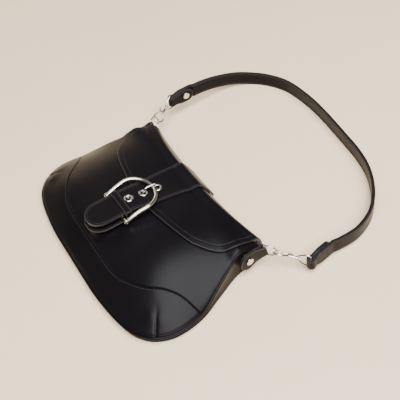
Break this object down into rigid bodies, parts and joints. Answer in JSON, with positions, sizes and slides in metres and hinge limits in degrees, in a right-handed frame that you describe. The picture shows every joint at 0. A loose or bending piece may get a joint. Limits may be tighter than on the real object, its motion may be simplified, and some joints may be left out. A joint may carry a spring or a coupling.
{
  "type": "shoulder bag",
  "caption": "Small shoulder bag of smooth black leather lying on its back: domed front with a curved yoke, short flap, buckled closure belt, and a strap on swivel snap hooks.",
  "frame": {"origin": "middle of the back panel, on its outer face", "axes": "+X to the right of the bag's front, +Y up the bag towards the shoulder strap, +Z out of the front"},
  "size_m": [0.2845, 0.3245, 0.0528],
  "materials": {
    "smooth_black_leather": "smooth finished leather, soft sheen, painted edges",
    "polished_nickel": "polished nickel plating",
    "woven_lining": "plain woven lining cloth"
  },
  "bodies": {
    "bag": {"back_panel": "smooth_black_leather", "gusset": "smooth_black_leather", "piping": "smooth_black_leather", "front_panel": "smooth_black_leather", "front_yoke": "smooth_black_leather", "lining": "woven_lining", "snap_socket": "polished_nickel", "side_tab_left": "smooth_black_leather", "side_tab_right": "smooth_black_leather", "tab_rivet_left": "polished_nickel", "tab_rivet_right": "polished_nickel"},
    "flap_with_belt": {"flap": "smooth_black_leather", "closure_belt": "smooth_black_leather", "buckle_tab": "smooth_black_leather", "belt_keeper": "smooth_black_leather", "buckle_bar": "polished_nickel", "snap_stud": "polished_nickel", "bar_loop_left": "smooth_black_leather", "bar_loop_right": "smooth_black_leather", "eyelet_lower": "polished_nickel", "eyelet_middle": "polished_nickel", "eyelet_upper": "polished_nickel"},
    "buckle": {"buckle_frame": "polished_nickel"},
    "prong": {"buckle_prong": "polished_nickel"},
    "ring_left": {"d_ring_left": "polished_nickel"},
    "ring_right": {"d_ring_right": "polished_nickel"},
    "shoulder_strap": {"strap": "smooth_black_leather", "strap_rivet_left": "polished_nickel", "strap_rivet_right": "polished_nickel", "swivel_eye_left": "polished_nickel", "swivel_eye_right": "polished_nickel"},
    "hook_left": {"hook_body_left": "polished_nickel", "gate_pin_left": "polished_nickel"},
    "hook_right": {"hook_body_right": "polished_nickel", "gate_pin_right": "polished_nickel"},
    "gate_left": {"hook_gate_left": "polished_nickel"},
    "gate_right": {"hook_gate_right": "polished_nickel"}
  },
  "joints": [
    {"name": "flap_hinge", "type": "hinge", "parent": "bag", "child": "flap_with_belt", "pos_m": [0, 0.0768, 0], "axis": [-1, 0, 0], "range_deg": [0, 110]},
    {"name": "buckle_lift", "type": "hinge", "parent": "flap_with_belt", "child": "buckle", "pos_m": [0, -0.019, 0.0453], "axis": [1, 0, 0], "range_deg": [0, 0.6]},
    {"name": "prong_lift", "type": "hinge", "parent": "flap_with_belt", "child": "prong", "pos_m": [0, -0.019, 0.0453], "axis": [1, 0, 0], "range_deg": [0, 0.6]},
    {"name": "ring_left_swing", "type": "hinge", "parent": "bag", "child": "ring_left", "pos_m": [-0.11045, 0.07559, 0.0192], "axis": [-0.0174, -0.1697, 0.9853], "range_deg": [-3, 3]},
    {"name": "ring_right_swing", "type": "hinge", "parent": "bag", "child": "ring_right", "pos_m": [0.11045, 0.07559, 0.0192], "axis": [0.0174, -0.1697, 0.9853], "range_deg": [-3, 3]},
    {"name": "strap_lift", "type": "hinge", "parent": "bag", "child": "shoulder_strap", "pos_m": [-0.11289, 0.0799, 0.0199], "axis": [1, -0.0047, -0.0009], "range_deg": [-8, 68]},
    {"name": "hook_left_swivel", "type": "hinge", "parent": "shoulder_strap", "child": "hook_left", "pos_m": [-0.11676, 0.08689, 0.02032], "axis": [-0.4841, 0.8734, 0.0523], "range_deg": [-40, 8]},
    {"name": "hook_right_swivel", "type": "hinge", "parent": "shoulder_strap", "child": "hook_right", "pos_m": [0.11996, 0.08416, 0.01803], "axis": [-0.7154, -0.6671, 0.2079], "range_deg": [-40, 8]},
    {"name": "gate_left", "type": "hinge", "parent": "hook_left", "child": "gate_left", "pos_m": [-0.12434, 0.09465, 0.02322], "axis": [0.5745, 0.2722, 0.7719], "range_deg": [0, 18], "stiffness_Nm_per_rad": 0.003, "springref_deg": -11.46},
    {"name": "gate_right", "type": "hinge", "parent": "hook_right", "child": "gate_right", "pos_m": [0.12519, 0.09308, 0.01366], "axis": [-0.2866, 0.5515, 0.7834], "range_deg": [0, 18], "stiffness_Nm_per_rad": 0.003, "springref_deg": -11.46}
  ],
  "couplings": [
    {"joint": "prong_lift", "follows": "buckle_lift", "ratio": 1}
  ]
}
